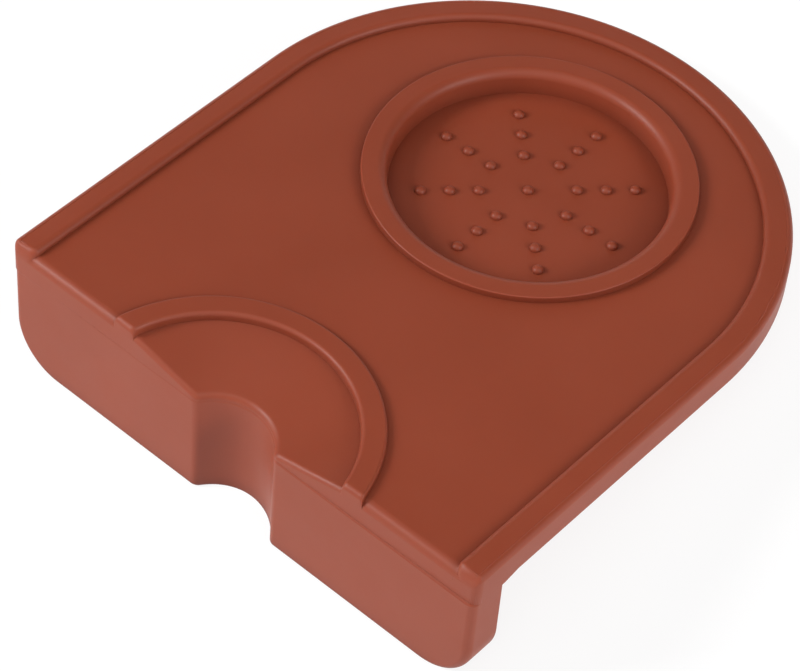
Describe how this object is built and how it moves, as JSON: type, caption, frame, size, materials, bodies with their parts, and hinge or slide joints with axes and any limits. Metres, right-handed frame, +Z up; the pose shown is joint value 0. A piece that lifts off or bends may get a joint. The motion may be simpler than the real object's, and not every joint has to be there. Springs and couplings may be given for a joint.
{
  "type": "espresso tamping mat",
  "caption": "Moulded silicone espresso tamping mat with a round nubbed tamper seat, a portafilter cradle with a spout notch, a raised edge and a lip that hangs over the counter edge.",
  "frame": {"origin": "on the underside of the mat's sheet, under the centre of the round tamper seat", "axes": "+Z up out of the counter, -Y towards the front lip, +Y towards the round back, X across the width"},
  "size_m": [0.125, 0.1405, 0.0345],
  "materials": {
    "silicone": "satin matte moulded silicone, reddish brown"
  },
  "bodies": {
    "root": {"mat_sheet": "silicone", "edge_rim": "silicone", "seat_floor": "silicone", "seat_ring": "silicone", "portafilter_arch": "silicone", "portafilter_cradle": "silicone", "front_lip": "silicone", "seat_nub_centre": "silicone", "seat_nub_1_1": "silicone", "seat_nub_1_2": "silicone", "seat_nub_1_3": "silicone", "seat_nub_2_1": "silicone", "seat_nub_2_2": "silicone", "seat_nub_2_3": "silicone", "seat_nub_3_1": "silicone", "seat_nub_3_2": "silicone", "seat_nub_3_3": "silicone", "seat_nub_4_1": "silicone", "seat_nub_4_2": "silicone", "seat_nub_4_3": "silicone", "seat_nub_5_1": "silicone", "seat_nub_5_2": "silicone", "seat_nub_5_3": "silicone", "seat_nub_6_1": "silicone", "seat_nub_6_2": "silicone", "seat_nub_6_3": "silicone", "seat_nub_7_1": "silicone", "seat_nub_7_2": "silicone", "seat_nub_7_3": "silicone", "seat_nub_8_1": "silicone", "seat_nub_8_2": "silicone", "seat_nub_8_3": "silicone"}
  },
  "joints": []
}
